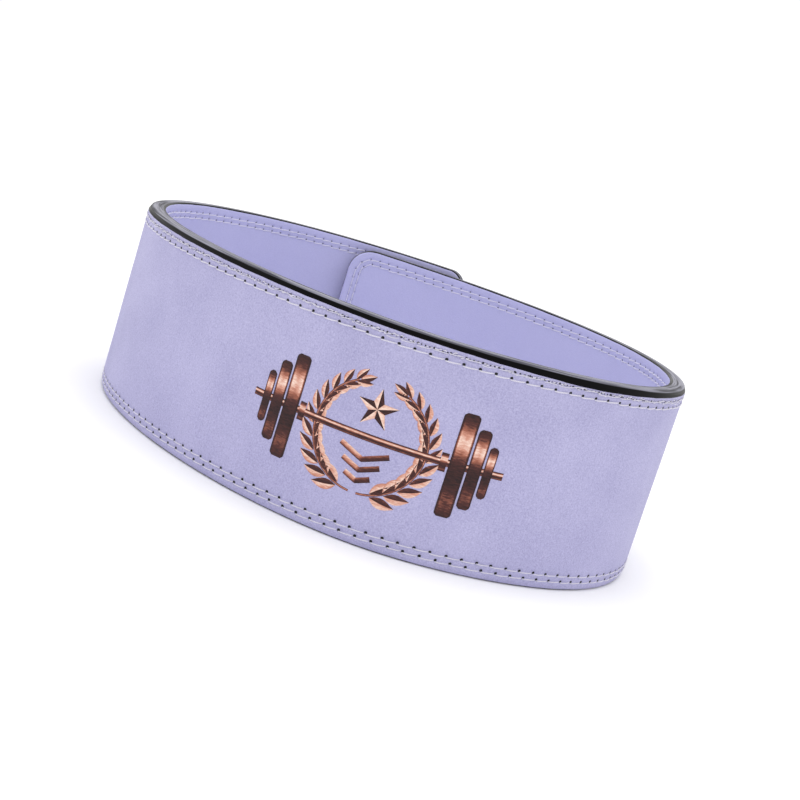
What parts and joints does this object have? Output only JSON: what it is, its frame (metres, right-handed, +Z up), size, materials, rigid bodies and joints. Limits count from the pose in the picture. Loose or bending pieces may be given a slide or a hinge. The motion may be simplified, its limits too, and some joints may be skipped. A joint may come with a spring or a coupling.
{
  "type": "weightlifting belt",
  "caption": "Broad stiff leather belt closed to a loop, sewn from three plies with a dark painted rim, its ends overlapping at the back under a plain clasp.",
  "frame": {"origin": "Middle of the part's box seen from above, on the surface that the belt's lower edge stands on.", "axes": "+Z up along the loop's axis, from the lower edge to the upper one. -Y towards the front, the side opposite the overlap. +X to the right, seen from the front."},
  "size_m": [0.2964, 0.3134, 0.1031],
  "materials": {
    "leather": "lilac leather with a fine matt grain",
    "edge_paint": "leather edge with black edge paint, half gloss",
    "clasp_steel": "plain brushed steel",
    "thread": "waxed pale grey thread",
    "print": "bronze-brown print on the leather"
  },
  "bodies": {
    "root": {"face_leather": "leather", "core_leather": "edge_paint", "lining_leather": "leather", "clasp": "clasp_steel"}
  },
  "joints": []
}
